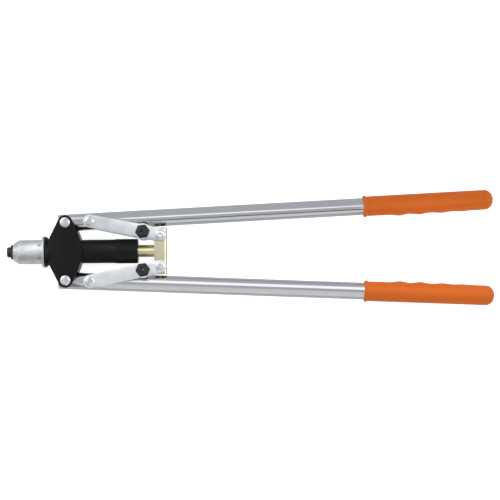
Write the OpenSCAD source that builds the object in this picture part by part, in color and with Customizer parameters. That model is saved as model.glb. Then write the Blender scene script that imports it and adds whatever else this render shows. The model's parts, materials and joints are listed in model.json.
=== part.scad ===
/* [Nose] */
// Diameter of the round tip that presses on the rivet flange
tip_d = 11.6; // [9:0.1:12]
// Length of the round tip
tip_l = 4.2; // [3:0.1:6]
// Hexagon of the nosepieces, across flats
hex_af = 14; // [12:0.5:15]
// Height of the hexagon
hex_l = 3.1; // [2:0.1:4]
// Thread diameter of the nosepieces
thread_d = 10; // [8:0.5:10]
// Bore of the fitted nosepiece, for the mandrel of a 6.4 mm rivet
nose_bore_d = 4.2; // [2.2:0.1:4.4]

/* [Head sleeve] */
// Outer diameter of the sleeve
sleeve_d = 27; // [25:0.1:28]
// Diameter of the flange that seats on the casting
flange_d = 35.2; // [32:0.1:38]
// Place of the sleeve's seat on the casting, from the tip
seat_x = 42; // [41:0.1:43]
// Number of spanner holes round the sleeve
spanner_holes = 6; // [4:1:8]

/* [Body casting] */
// Handle pivots, distance behind the tip
pivot_x = 65.4; // [64:0.1:67]
// Handle pivots, distance from the centre line
pivot_y = 32; // [31.5:0.1:33]
// Radius of the cast lobes round the pivots
lobe_r = 8; // [7.5:0.1:9]
// Thickness over both cheeks
cheek_span = 29; // [28:0.1:31]
// Slot between the cheeks, where the tubes swing
slot_gap = 19.8; // [19.6:0.1:20]
// Outer diameter of the long barrel
barrel_d = 26.2; // [24:0.1:27]
// Rear end of the barrel, from the tip
barrel_end = 145; // [142:0.5:146]

/* [Handles] */
// Outer diameter of the handle tubes
tube_d = 19; // [18.5:0.1:19]
// Wall of the handle tubes
tube_wall = 2; // [1.5:0.1:2.5]
// Angle of each closed handle to the centre line
rest_angle = 2.6; // [2.6:0.1:4]
// Distance from a pivot to the closed end of its grip
handle_reach = 474.6; // [400:1:600]
// Length of the grips
grip_l = 144; // [120:1:160]
// Diameter of the grips between the finger swells
grip_d = 22.2; // [22:0.1:25]

/* [Links and crosshead] */
// Distance from a handle pivot to its link pin
link_pin_reach = 27; // [26:0.1:28]
// Rear link rivets, distance behind the tip
crosshead_pin_x = 170; // [169:0.1:171]
// Rear link rivets, distance from the centre line
crosshead_pin_y = 17.5; // [16:0.1:18]
// Thickness of a link plate
plate_t = 3; // [2:0.1:3.5]
// Length of the channel crosshead along the tool
crosshead_l = 13.7; // [13:0.1:16]
// Width of the crosshead across the tool
crosshead_w = 51.8; // [50:0.1:52.8]
// Height of the crosshead
crosshead_h = 19; // [18.6:0.1:19]
// Diameter of the pull rod
rod_d = 13.3; // [12:0.1:13.4]

/* [Hidden] */
$fn = 96;

// Clearances: a turning fit, a pressed or riveted fit, and free air between flat faces
running = 0.06;
seated = 0.02;
face_gap = 0.3;
eps = 0.01;
// How far a cut runs past the solid that it cuts
past = 1;

// Nosepiece, measured along its axis from the tip
shank_l = 9.5;
tail_l = 2.5;
tail_d = 6.4;
hex_start = tip_l;
hex_end = hex_start + hex_l;
tip_round = 0.9;
tip_fillet = 0.5;
hex_corner = 0.45;
nose_l = hex_end + shank_l + tail_l;

// Head sleeve
cone_l = 6.4;
cone_front_d = 20.3;
flange_t = 2.8;
front_wall_l = 8.2;
spigot_d = 22;
spigot_l = 14;
spigot_lead = 1;
head_bore_d = 18.4;
cone_edge = 0.4;
sleeve_fillet = 0.9;
flange_round = 1;
flange_rear_round = 0.7;
spanner_hole_d = 3;
spanner_hole_depth = 2.5;
spanner_hole_x = seat_x - 5.4;
first_spanner_hole = 29;

// Body casting
casting_step = 0.45;
neck_d = cheek_span + 2 * casting_step;
neck_x = seat_x + 4.2;
cheek_front_x = 48.3;
cheek_front_y = 15.7;
rear_arc_x = 32.7;
rear_arc_r = 50.9;
// The straight rear sides lie this far inside the arcs, so they cross them and don't graze
side_sink = 0.03;
casting_flange_d = 34;
casting_flange_t = 1.6;
casting_edge = 0.4;
collar_d = barrel_d + 2 * casting_step;
collar_x = 119.4;
collar_ramp = 1;
collar_edge = 0.8;
spigot_room = 0.4;
head_cavity_end = 76.6;
head_cavity_ramp = 2;
rod_bore_d = rod_d + 0.16;
pocket_r = 13.6;
slot_side_gap = 0.8;
slot_reach = 60;
pivot_d = 8;
pivot_head_d = 11.3;
pivot_head_h = 2;
p1 = [pivot_x, pivot_y];

// Rivet heads, as shares of their height and radius, and the flat struck centre
head_rim_share = 0.35;
head_crown_share = 0.45;
head_steps = 5;
head_dimple = 0.15;

// Handles, each in its own frame: the pivot at the origin, the tube along +X
tube_front = -8.2;
tube_end = handle_reach - 7;
bush_wall = 1.5;
bush_proud = 0.25;
bush_l = tube_d + 2 * bush_proud;
link_pin_d = 7;
link_pin_air = 0.1;
link_head_d = 10.4;
link_head_h = 1.8;
grip_front = handle_reach - grip_l;
grip_end_r = 8.6;
grip_end_room = 0.2;
lip_d = grip_d + 2;
lip_l = 2.4;
lip_round = 1;
lip_foot = 0.4;
lip_ramp = 0.9;
swell_pitch = 22.8;
swell_first = grip_front + 40;
swell_heights = [1.5, 1.35, 0.9, 0.5];
swell_steps = 6;
swell_margin = 0.4;
swell_sink = 0.2;

// Links, each in its own frame: the link pin at the origin, the plate along +X
p2 = p1 + link_pin_reach * [cos(rest_angle), sin(rest_angle)];
p3 = [crosshead_pin_x, crosshead_pin_y];
link_l = norm(p3 - p2);
link_angle = atan2(p3[1] - p2[1], p3[0] - p2[0]);
plate_z = tube_d / 2 + face_gap;
link_front_r = 7.3;
link_waist_r = 7.9;
link_rear_r = 6.65;
eye_along = 59.5;
eye_out = -0.2;
eye_r = 9.2;
hex_turn = 7.5;
rivet_d = 5.5;
spare_bores = [2.9, 3.5];

// Crosshead and pull rod
channel_t = 2.5;
channel_r = 2.8;
crosshead_x0 = crosshead_pin_x - crosshead_l / 2;
crosshead_x1 = crosshead_x0 + crosshead_l;
open_pivot_d = 9.6;
spigot_end_d = 9;
peen = 1;
rod_edge = 0.6;
rod_thread_edge = 0.5;

// Collet, measured along the tool with the handles closed
case_x0 = 31;
case_d = 17.7;
case_mouth_d = 11.2;
jaw_x0 = 33.6;
jaw_x1 = 46;
chamber_x1 = 62;
chamber_d = 14.8;
case_x1 = 70;
case_front_edge = 1.2;
case_rear_edge = 0.6;
rod_thread_d = 10;
nut_af = 15;
nut_l = 5;
rod_x0 = chamber_x1 + 0.2;
rod_shoulder_x = case_x1 + nut_l + 0.4;
mandrel_d = 4.6;
mandrel_end = 112;
mandrel_cone_l = 1.3;
jaw_gap_angle = 6;
jaw_grip_d = 3.4;
jaw_lead = 1;
jaw_back_l = 3;
jaw_back_r = 4.9;
tooth_h = 0.5;
tooth_pitch = 1.1;
tooth_flat = 0.2;
pusher_nose_l = 1.9;
pusher_nose_r = 2.8;
pusher_cone_r = 4.5;
pusher_flange_t = 2.2;
pusher_stem_r = 4.2;
pusher_x1 = 54;
wire_d = 1.4;
spring_air = 0.1;
spring_d = 11.9;
spring_turns = 5.5;

// Points of an arc from angle a0 to a1, for turned profiles
function arc(c, r, a0, a1, n = 6) =
    [for (i = [0:n]) c + r * [cos(a0 + (a1 - a0) * i / n), sin(a0 + (a1 - a0) * i / n)]];

// Half angle between the centre line and the touching points of two circles on a line
function tangent_angle(r1, r2, d) = acos((r1 - r2) / d);

// A solid turned about the X axis from [x, radius] points
module turned(points) {
    rotate([0, 90, 0]) rotate_extrude() polygon([for (p = points) [p[1], p[0]]]);
}

// A straight cylinder along X
module bar(d, x0, x1) {
    translate([x0, 0, 0]) rotate([0, 90, 0]) cylinder(d = d, h = x1 - x0);
}

module on_side(side) {
    if (side > 0) children();
    else mirror([0, 1, 0]) children();
}

module in_handle(side) {
    on_side(side) translate([pivot_x, pivot_y, 0]) rotate([0, 0, rest_angle]) children();
}

module in_link(side) {
    on_side(side) translate([p2[0], p2[1], 0]) rotate([0, 0, link_angle]) children();
}

// Domed rivet head standing on z = 0, with a flat struck centre
module rivet_head(d, h) {
    rim_h = head_rim_share * h;
    crown_r = head_crown_share * d / 2;
    rise = h - rim_h;
    turn = 90 / head_steps;
    rotate_extrude() polygon(concat([[0, 0], [d / 2, 0], [d / 2, rim_h]],
        [for (i = [1:head_steps])
            [crown_r + (d / 2 - crown_r) * cos(turn * i), rim_h + rise * sin(turn * i)]],
        [[0, h - head_dimple]]));
}

// Rivet through two outer faces at z = +/- span / 2
module rivet(d, head_d, head_h, span) {
    cylinder(d = d, h = span + 2 * eps, center = true);
    for (face = [0, 1]) mirror([0, 0, face]) translate([0, 0, span / 2]) rivet_head(head_d, head_h);
}

// Nosepiece along +X: round tip, hexagon with turned corners, threaded shank, cone tail
module nosepiece_body(bore_d) {
    hex_ac = hex_af / cos(30);
    difference() {
        union() {
            turned(concat([[0, 0]], arc([tip_round, tip_d / 2 - tip_round], tip_round, 180, 90),
                [[hex_start - tip_fillet, tip_d / 2], [hex_start + eps, tip_d / 2 + tip_fillet],
                [hex_start + eps, 0]]));
            intersection() {
                translate([hex_start, 0, 0]) rotate([0, 90, 0])
                    cylinder(d = hex_ac, h = hex_l, $fn = 6);
                turned([[hex_start, 0], [hex_start, hex_af / 2 + hex_corner],
                    [hex_start + hex_corner, hex_ac / 2], [hex_end - hex_corner, hex_ac / 2],
                    [hex_end, hex_af / 2 + hex_corner], [hex_end, 0]]);
            }
            turned([[hex_end - eps, 0], [hex_end - eps, thread_d / 2], [hex_end + shank_l, thread_d / 2],
                [nose_l, tail_d / 2], [nose_l, 0]]);
        }
        bar(bore_d, -past, nose_l + past);
    }
}

module nosepiece() {
    color("dimgray") rotate([30, 0, 0]) nosepiece_body(nose_bore_d);
}

module head_sleeve() {
    shoulder = seat_x - flange_t;
    color("silver") difference() {
        turned(concat(
            [[hex_end, thread_d / 2 + seated], [hex_end, cone_front_d / 2 - cone_edge],
            [hex_end + cone_edge, cone_front_d / 2], [hex_end + cone_l, sleeve_d / 2],
            [shoulder - sleeve_fillet, sleeve_d / 2]],
            arc([shoulder - sleeve_fillet, sleeve_d / 2 + sleeve_fillet], sleeve_fillet, 270, 360),
            [[shoulder, flange_d / 2 - flange_round]],
            arc([shoulder + flange_round, flange_d / 2 - flange_round], flange_round, 180, 90),
            arc([seat_x - flange_rear_round, flange_d / 2 - flange_rear_round],
                flange_rear_round, 90, 0, 4),
            [[seat_x, spigot_d / 2], [seat_x + spigot_l - spigot_lead, spigot_d / 2],
            [seat_x + spigot_l, spigot_d / 2 - spigot_lead], [seat_x + spigot_l, head_bore_d / 2],
            [hex_end + front_wall_l, head_bore_d / 2],
            [hex_end + front_wall_l, thread_d / 2 + seated]]));
        for (i = [0:spanner_holes - 1]) rotate([first_spanner_hole + i * 360 / spanner_holes, 0, 0])
            translate([spanner_hole_x, 0, sleeve_d / 2 - spanner_hole_depth])
                cylinder(d = spanner_hole_d, h = 2 * spanner_hole_depth, $fn = 24);
    }
}

// Diamond plan of the casting: two lobes, straight front sides, and behind them straight sides
// that run into one arc
module cheek_outline() {
    from_corner = p1 - [cheek_front_x, cheek_front_y];
    lean = atan2(from_corner[1], from_corner[0]) + asin(lobe_r / norm(from_corner));
    touch = p1 + lobe_r * [cos(lean + 90), sin(lean + 90)];
    arc_centre = [rear_arc_x, 0];
    from_arc = p1 - arc_centre;
    rear_lean = atan2(from_arc[1], from_arc[0]) - tangent_angle(rear_arc_r, lobe_r, norm(from_arc));
    outward = [cos(rear_lean), sin(rear_lean)];
    leave = arc_centre + (rear_arc_r - side_sink) * outward;
    half = [[cheek_front_x, cheek_front_y], touch, p1, p1 + (lobe_r - side_sink) * outward, leave];
    last = len(half) - 1;
    for (side = [-1, 1]) translate([pivot_x, side * pivot_y]) circle(r = lobe_r);
    polygon(concat(half, [for (i = [last:-1:0]) [half[i][0], -half[i][1]]]));
    intersection() {
        translate(arc_centre) circle(r = rear_arc_r, $fn = 240);
        translate([pivot_x + lobe_r / 2, -rear_arc_r]) square(2 * rear_arc_r);
    }
}

// Room that one tube needs between the cheeks: a round pocket and an open side behind it
module tube_slot(side) {
    in_handle(side) translate([0, 0, -slot_gap / 2]) {
        cylinder(r = pocket_r, h = slot_gap);
        translate([0, -tube_d / 2 - slot_side_gap, 0]) cube([slot_reach, slot_reach, slot_gap]);
    }
}

module body_casting() {
    color("#262627") difference() {
        union() {
            turned([[seat_x, 0], [seat_x, casting_flange_d / 2 - casting_edge],
                [seat_x + casting_edge, casting_flange_d / 2],
                [seat_x + casting_flange_t, casting_flange_d / 2], [neck_x, neck_d / 2],
                [cheek_front_x + collar_ramp, neck_d / 2],
                [cheek_front_x + 2 * collar_ramp, cheek_span / 2],
                [cheek_front_x + 2 * collar_ramp, 0]]);
            difference() {
                translate([0, 0, -cheek_span / 2]) linear_extrude(cheek_span) cheek_outline();
                for (side = [-1, 1]) tube_slot(side);
            }
            turned([[cheek_front_x, 0], [cheek_front_x, barrel_d / 2], [collar_x, barrel_d / 2],
                [collar_x + collar_ramp, collar_d / 2], [barrel_end - collar_edge, collar_d / 2],
                [barrel_end, collar_d / 2 - collar_edge], [barrel_end, 0]]);
        }
        turned([[seat_x - past, 0], [seat_x - past, spigot_d / 2 + seated],
            [seat_x + spigot_l + spigot_room, spigot_d / 2 + seated],
            [seat_x + spigot_l + spigot_room, head_bore_d / 2], [head_cavity_end, head_bore_d / 2],
            [head_cavity_end + head_cavity_ramp, rod_bore_d / 2],
            [barrel_end + past, rod_bore_d / 2], [barrel_end + past, 0]]);
        for (side = [-1, 1]) translate([pivot_x, side * pivot_y, 0])
            cylinder(d = pivot_d + 2 * seated, h = 2 * cheek_span, center = true);
    }
}

module pivot_rivet(side) {
    color("gainsboro") on_side(side) translate([pivot_x, pivot_y, 0])
        rivet(pivot_d, pivot_head_d, pivot_head_h, cheek_span);
}

module tube(side) {
    color("silver") in_handle(side) difference() {
        bar(tube_d, tube_front, tube_end);
        bar(tube_d - 2 * tube_wall, tube_front - past, tube_end + past);
        cylinder(d = pivot_d + 2 * (running + bush_wall + seated), h = 2 * tube_d, center = true);
        translate([link_pin_reach, 0, 0])
            cylinder(d = link_pin_d + 2 * (bush_wall + 2 * seated), h = 2 * tube_d, center = true);
    }
}

// Bush across a tube, a touch proud of it at both ends
module cross_bush(bore_d, outer_d) {
    difference() {
        cylinder(d = outer_d, h = bush_l, center = true);
        cylinder(d = bore_d, h = 2 * bush_l, center = true);
    }
}

module pivot_bush(side) {
    bore_d = pivot_d + 2 * running;
    color("darkgray") in_handle(side) cross_bush(bore_d, bore_d + 2 * bush_wall);
}

module link_bush(side) {
    bore_d = link_pin_d + 2 * seated;
    color("darkgray") in_handle(side) translate([link_pin_reach, 0, 0])
        cross_bush(bore_d, bore_d + 2 * bush_wall);
}

module link_pin(side) {
    color("gainsboro") in_handle(side) translate([link_pin_reach, 0, 0])
        rivet(link_pin_d, link_head_d, link_head_h, 2 * (plate_z + plate_t + link_pin_air));
}

// Finger swell: a turned body with a cosine profile, its axis moved towards the other handle
module swell(x, height) {
    half = swell_pitch / 2 - swell_margin;
    dip = height + swell_sink;
    top = [for (i = [-swell_steps:swell_steps])
        [x + half * i / swell_steps, grip_d / 2 - dip * (1 - cos(180 * i / swell_steps)) / 2]];
    translate([0, -height, 0]) turned(concat([[x - half, 0]], top, [[x + half, 0]]));
}

module grip(side) {
    r = grip_d / 2;
    color("#d96a25") in_handle(side) difference() {
        union() {
            turned(concat([[grip_front, 0]],
                arc([grip_front + lip_round, lip_d / 2 - lip_round], lip_round, 180, 60),
                [[grip_front + lip_l, r + lip_foot], [grip_front + lip_l + lip_ramp, r]],
                arc([handle_reach - grip_end_r, r - grip_end_r], grip_end_r, 90, 0, 9),
                [[handle_reach, 0]]));
            for (i = [0:len(swell_heights) - 1])
                swell(swell_first + i * swell_pitch, swell_heights[i]);
        }
        bar(tube_d + 2 * seated, grip_front - past, tube_end + grip_end_room);
    }
}

// Plan of a link: a strip that widens to the eye of the spare nosepiece and narrows behind it
module link_outline() {
    a_front = tangent_angle(link_front_r, link_waist_r, eye_along);
    a_rear = tangent_angle(link_waist_r, link_rear_r, link_l - eye_along);
    polygon(concat(arc([0, 0], link_front_r, a_front, 360 - a_front, 24),
        [[eye_along, -link_waist_r]],
        arc([link_l, 0], link_rear_r, -a_rear, a_rear, 24),
        [[eye_along, link_waist_r]]));
    translate([eye_along, eye_out]) circle(r = eye_r);
}

// level is +1 for the plate on top and -1 for the one below
module link_plate(side, level) {
    color("lightgray") in_link(side) difference() {
        translate([0, 0, level > 0 ? plate_z : -plate_z - plate_t])
            linear_extrude(plate_t) link_outline();
        cylinder(d = link_pin_d + 2 * running, h = 4 * plate_z, center = true);
        translate([link_l, 0, 0]) cylinder(d = rivet_d + 2 * seated, h = 4 * plate_z, center = true);
        if (level > 0) translate([eye_along, eye_out, 0])
            cylinder(d = thread_d + 2 * seated, h = 2 * plate_z);
    }
}

module crosshead_rivet(side) {
    color("gainsboro") in_link(side) translate([link_l, 0, 0])
        rivet(rivet_d, link_head_d, link_head_h, 2 * (plate_z + plate_t));
}

// Spare nosepiece screwed down into the eye of the top plate, tip up
module spare_nosepiece(side) {
    eye = p2 + [eye_along * cos(link_angle) - eye_out * sin(link_angle),
        eye_along * sin(link_angle) + eye_out * cos(link_angle)];
    color("dimgray") translate([eye[0], side * eye[1], plate_z + plate_t + hex_end])
        rotate([0, 0, hex_turn]) rotate([0, 90, 0]) nosepiece_body(spare_bores[side > 0 ? 0 : 1]);
}

// Channel section, seen along Y: web behind, open to the front
module channel_section() {
    h = crosshead_h / 2;
    x_bend = crosshead_x1 - channel_r;
    difference() {
        union() {
            translate([crosshead_x0, -h]) square([x_bend - crosshead_x0, 2 * h]);
            translate([x_bend - eps, channel_r - h]) square([channel_r + eps, 2 * (h - channel_r)]);
            for (end = [-1, 1]) translate([x_bend, end * (h - channel_r)]) circle(r = channel_r);
        }
        translate([crosshead_x0 - past, channel_t - h])
            square([crosshead_l - channel_t + past, 2 * (h - channel_t)]);
    }
}

module crosshead() {
    color("#cfc9af") difference() {
        translate([0, crosshead_w / 2, 0]) rotate([90, 0, 0])
            linear_extrude(crosshead_w) channel_section();
        for (side = [-1, 1]) translate([crosshead_pin_x, side * crosshead_pin_y, 0])
            cylinder(d = open_pivot_d, h = 2 * crosshead_h, center = true);
        turned([[crosshead_x1 - channel_t - past, 0],
            [crosshead_x1 - channel_t - past, spigot_end_d / 2 + seated],
            [crosshead_x1 - peen, spigot_end_d / 2 + seated],
            [crosshead_x1 + eps, spigot_end_d / 2 + peen], [crosshead_x1 + eps, 0]]);
    }
}

// Pull rod: threaded front, mandrel bore, spigot behind that is peened flush in the web
module pull_rod() {
    web_x = crosshead_x1 - channel_t;
    color("#b3b087") difference() {
        turned([[rod_x0, 0], [rod_x0, rod_thread_d / 2 - rod_thread_edge],
            [rod_x0 + rod_thread_edge, rod_thread_d / 2], [rod_shoulder_x, rod_thread_d / 2],
            [rod_shoulder_x, rod_d / 2 - rod_edge], [rod_shoulder_x + rod_edge, rod_d / 2],
            [web_x, rod_d / 2], [web_x, spigot_end_d / 2], [crosshead_x1 - peen, spigot_end_d / 2],
            [crosshead_x1 - eps, spigot_end_d / 2 + peen - 3 * seated], [crosshead_x1 - eps, 0]]);
        turned([[rod_x0 - past, 0], [rod_x0 - past, mandrel_d / 2], [mandrel_end, mandrel_d / 2],
            [mandrel_end + mandrel_cone_l, 0]]);
    }
}

// Case whose inner cone closes the jaws as it is drawn back
module jaw_case() {
    color("slategray") difference() {
        turned([[case_x0, 0], [case_x0, case_d / 2 - case_front_edge],
            [case_x0 + case_front_edge, case_d / 2], [case_x1 - case_rear_edge, case_d / 2],
            [case_x1, case_d / 2 - case_rear_edge], [case_x1, 0]]);
        turned([[case_x0 - past, 0], [case_x0 - past, case_mouth_d / 2], [case_x0, case_mouth_d / 2],
            [jaw_x1, chamber_d / 2], [chamber_x1, chamber_d / 2],
            [chamber_x1, rod_thread_d / 2 + seated], [case_x1 + past, rod_thread_d / 2 + seated],
            [case_x1 + past, 0]]);
    }
}

module jaw_case_nut() {
    color("slategray") difference() {
        translate([case_x1, 0, 0]) rotate([0, 90, 0])
            cylinder(d = nut_af / cos(30), h = nut_l, $fn = 6);
        bar(rod_thread_d + 2 * seated, case_x1 - past, case_x1 + nut_l + past);
    }
}

// One of three toothed jaws that together make a split cone
module jaw(index) {
    cone = (chamber_d - case_mouth_d) / 2 / (jaw_x1 - case_x0);
    front_r = case_mouth_d / 2 + cone * (jaw_x0 - case_x0) - face_gap;
    back_r = chamber_d / 2 - face_gap;
    grip_r = jaw_grip_d / 2;
    teeth_x0 = jaw_x0 + jaw_lead;
    teeth_x1 = jaw_x1 - jaw_back_l;
    teeth = floor((teeth_x1 - teeth_x0) / tooth_pitch);
    ridges = [for (i = [teeth - 1:-1:0]) each [
        [teeth_x0 + (i + 1) * tooth_pitch, grip_r + tooth_h],
        [teeth_x0 + i * tooth_pitch + tooth_flat, grip_r]]];
    color("darkslategray") rotate([120 * index + jaw_gap_angle / 2, 0, 0]) rotate([0, 90, 0])
        rotate_extrude(angle = 120 - jaw_gap_angle)
            polygon([for (p = concat([[jaw_x0, grip_r + jaw_lead], [jaw_x0, front_r],
                [jaw_x1, back_r], [jaw_x1, jaw_back_r], [teeth_x1, grip_r + tooth_h + face_gap]],
                ridges)) [p[1], p[0]]]);
}

// Pusher: its cone spreads the jaws from behind, its stem centres the spring
module jaw_pusher() {
    cone_x = jaw_x1 + face_gap;
    flange_x = cone_x + pusher_flange_t;
    flange_r = chamber_d / 2 - face_gap;
    nose_x = cone_x - pusher_nose_l;
    color("goldenrod") difference() {
        turned([[nose_x, 0], [nose_x, pusher_nose_r], [cone_x, pusher_cone_r], [cone_x, flange_r],
            [flange_x, flange_r], [flange_x, pusher_stem_r], [pusher_x1, pusher_stem_r],
            [pusher_x1, 0]]);
        bar(mandrel_d, nose_x - past, pusher_x1 + past);
    }
}

// Compression spring between the pusher's flange and the floor of the case
module jaw_spring() {
    ring_sides = 8;
    steps_per_turn = 18;
    x0 = jaw_x1 + face_gap + pusher_flange_t + wire_d / 2 + spring_air;
    x1 = chamber_x1 - wire_d / 2 - spring_air;
    coil_r = spring_d / 2;
    steps = round(spring_turns * steps_per_turn);
    function centre(i) = [x0 + (x1 - x0) * i / steps,
        coil_r * cos(i * 360 / steps_per_turn), coil_r * sin(i * 360 / steps_per_turn)];
    function wire_point(i, j) =
        let (turn = i * 360 / steps_per_turn, around = j * 360 / ring_sides, w = wire_d / 2)
        centre(i) + w * [sin(around), cos(around) * cos(turn), cos(around) * sin(turn)];
    points = [for (i = [0:steps], j = [0:ring_sides - 1]) wire_point(i, j)];
    sides = [for (i = [0:steps - 1], j = [0:ring_sides - 1]) let (k = (j + 1) % ring_sides)
        [i * ring_sides + j, i * ring_sides + k, (i + 1) * ring_sides + k, (i + 1) * ring_sides + j]];
    ends = [[for (j = [ring_sides - 1:-1:0]) j],
        [for (j = [0:ring_sides - 1]) steps * ring_sides + j]];
    color("gray") polyhedron(points, concat(sides, ends));
}

body_casting();
head_sleeve();
nosepiece();
pivot_rivet(1);  // upper_pivot_rivet
pivot_rivet(-1);  // lower_pivot_rivet
tube(1);  // upper_tube
pivot_bush(1);  // upper_pivot_bush
link_bush(1);  // upper_link_bush
link_pin(1);  // upper_link_pin
grip(1);  // upper_grip
tube(-1);  // lower_tube
pivot_bush(-1);  // lower_pivot_bush
link_bush(-1);  // lower_link_bush
link_pin(-1);  // lower_link_pin
grip(-1);  // lower_grip
link_plate(1, 1);  // upper_link_top_plate
link_plate(1, -1);  // upper_link_bottom_plate
crosshead_rivet(1);  // upper_crosshead_rivet
spare_nosepiece(1);  // upper_spare_nosepiece
link_plate(-1, 1);  // lower_link_top_plate
link_plate(-1, -1);  // lower_link_bottom_plate
crosshead_rivet(-1);  // lower_crosshead_rivet
spare_nosepiece(-1);  // lower_spare_nosepiece
crosshead();
pull_rod();
jaw_case();
jaw_case_nut();
jaw(0);  // jaw_a
jaw(1);  // jaw_b
jaw(2);  // jaw_c
jaw_pusher();
jaw_spring();
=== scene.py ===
# %% [markdown]
# # Dressing a long lever riveter
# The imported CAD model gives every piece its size, its place and the body that it moves with.
# This lesson keeps the pieces whose shape is already right and gives them real finishes. The
# pieces that a press, a mould or a foundry leaves softly rounded are modelled anew with
# Blender's own tools, in the same place, and so is the one spring that has to shorten.
#
# Lengths are written in millimetres, as on a drawing, and `MM` turns them into metres.

import json
import math
from contextlib import contextmanager

import bmesh
import bpy
from mathutils import Matrix, Vector
from mathutils.geometry import intersect_line_sphere_2d

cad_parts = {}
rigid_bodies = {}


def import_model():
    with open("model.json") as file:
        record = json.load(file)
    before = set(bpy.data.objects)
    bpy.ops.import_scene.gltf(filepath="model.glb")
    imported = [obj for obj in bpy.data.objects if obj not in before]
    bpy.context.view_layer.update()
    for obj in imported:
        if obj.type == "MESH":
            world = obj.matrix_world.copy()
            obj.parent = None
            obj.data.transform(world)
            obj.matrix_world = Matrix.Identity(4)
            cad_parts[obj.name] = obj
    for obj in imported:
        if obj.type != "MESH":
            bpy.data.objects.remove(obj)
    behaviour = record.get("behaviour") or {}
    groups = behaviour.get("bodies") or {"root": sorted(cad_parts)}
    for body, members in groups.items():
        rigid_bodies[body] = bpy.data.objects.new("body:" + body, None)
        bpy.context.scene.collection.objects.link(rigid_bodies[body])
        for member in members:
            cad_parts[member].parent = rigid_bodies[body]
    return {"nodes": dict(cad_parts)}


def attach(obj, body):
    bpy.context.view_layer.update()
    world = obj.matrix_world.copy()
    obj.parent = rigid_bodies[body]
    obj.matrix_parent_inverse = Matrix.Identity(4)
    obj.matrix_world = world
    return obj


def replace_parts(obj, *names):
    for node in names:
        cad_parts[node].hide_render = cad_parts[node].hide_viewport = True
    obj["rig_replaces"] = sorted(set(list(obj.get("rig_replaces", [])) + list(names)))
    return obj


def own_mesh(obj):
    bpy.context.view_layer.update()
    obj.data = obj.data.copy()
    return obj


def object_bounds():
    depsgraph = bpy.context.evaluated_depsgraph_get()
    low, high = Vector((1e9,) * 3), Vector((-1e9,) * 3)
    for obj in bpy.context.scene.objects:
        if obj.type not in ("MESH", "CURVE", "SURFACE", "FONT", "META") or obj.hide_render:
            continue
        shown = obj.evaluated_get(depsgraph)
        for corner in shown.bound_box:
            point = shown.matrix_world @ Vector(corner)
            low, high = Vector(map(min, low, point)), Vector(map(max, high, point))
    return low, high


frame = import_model()
cad_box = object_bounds()
nodes = frame["nodes"]
MM = 0.001
print("CAD nodes:", len(nodes), "size in mm:",
      [round(side / MM, 1) for side in cad_box[1] - cad_box[0]])

# %% [markdown]
# ## The drawing's main points
# The upper and lower halves mirror each other across the tool's centre line. A handle is drawn
# with its pivot at the origin and its tube along X, a link with its front pin at the origin.
# Each finished half is then turned and moved to its seat, so no shape has to be drawn at a slant.

# %% Pivots, pins and angles
PIVOT = Vector((65.4, 32.0, 0.0))
HANDLE_ANGLE = 2.6
PIN_REACH = 27.0
REAR_PIN = Vector((170.0, 17.5, 0.0))
turn_of_handle = math.radians(HANDLE_ANGLE)
FRONT_PIN = PIVOT + PIN_REACH * Vector((math.cos(turn_of_handle), math.sin(turn_of_handle), 0.0))
link_run = REAR_PIN - FRONT_PIN
LINK_LENGTH = link_run.length
LINK_ANGLE = math.degrees(math.atan2(link_run.y, link_run.x))
HALVES = {"upper": 1, "lower": -1}
print("link length", round(LINK_LENGTH, 2), "mm at", round(LINK_ANGLE, 2), "degrees")

# %% [markdown]
# ## A small set of hand tools
# Modelling by hand is selecting, then pressing a key. The same steps work from a script: each
# helper below opens edit mode on one piece, selects by place or by normal, and calls the
# operator that the key would call. Everything is deselected first, because an operator works on
# all that is selected, and the loaded CAD pieces still are.

# %% Primitives and edit mode
def primitive(kind, name, **settings):
    """Adds one primitive on its own at the origin and names it."""
    bpy.ops.object.select_all(action="DESELECT")
    getattr(bpy.ops.mesh, f"primitive_{kind}_add")(**settings)
    piece = bpy.context.active_object
    piece.name = piece.data.name = name
    return piece


def only(piece):
    """Makes a piece the one that is selected and active."""
    bpy.ops.object.select_all(action="DESELECT")
    piece.select_set(True)
    bpy.context.view_layer.objects.active = piece


@contextmanager
def editing(piece):
    """Opens one piece in edit mode with nothing selected in it."""
    only(piece)
    bpy.ops.object.mode_set(mode="EDIT")
    bpy.ops.mesh.select_mode(type="VERT")
    bpy.ops.mesh.select_all(action="DESELECT")
    yield
    bpy.ops.object.mode_set(mode="OBJECT")


def is_level(edge):
    """Whether an edge keeps its height from one end to the other."""
    return abs(edge.verts[0].co.z - edge.verts[1].co.z) < 0.01 * MM


def pick(piece, kind, test):
    """Selects the vertices, edges or faces that pass a test and returns how many do."""
    bpy.ops.mesh.select_mode(type=kind)
    bpy.ops.mesh.select_all(action="DESELECT")
    mesh = bmesh.from_edit_mesh(piece.data)
    found = [item for item in {"VERT": mesh.verts, "EDGE": mesh.edges, "FACE": mesh.faces}[kind]
             if test(item)]
    for item in found:
        item.select_set(True)
    mesh.select_flush_mode()
    bmesh.update_edit_mesh(piece.data)
    return len(found)


# %% Finishing a mesh
MERGE_DISTANCE = 0.001


def clean(piece):
    """Merges doubled vertices and turns all faces outwards."""
    with editing(piece):
        bpy.ops.mesh.select_all(action="SELECT")
        bpy.ops.mesh.remove_doubles(threshold=MERGE_DISTANCE * MM)
        bpy.ops.mesh.normals_make_consistent(inside=False)


def apply_modifier(piece, kind, **settings):
    """Adds a modifier and applies it at once."""
    only(piece)
    step = piece.modifiers.new(kind.lower(), kind)
    for setting, value in settings.items():
        setattr(step, setting, value)
    bpy.ops.object.modifier_apply(modifier=step.name)


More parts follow.
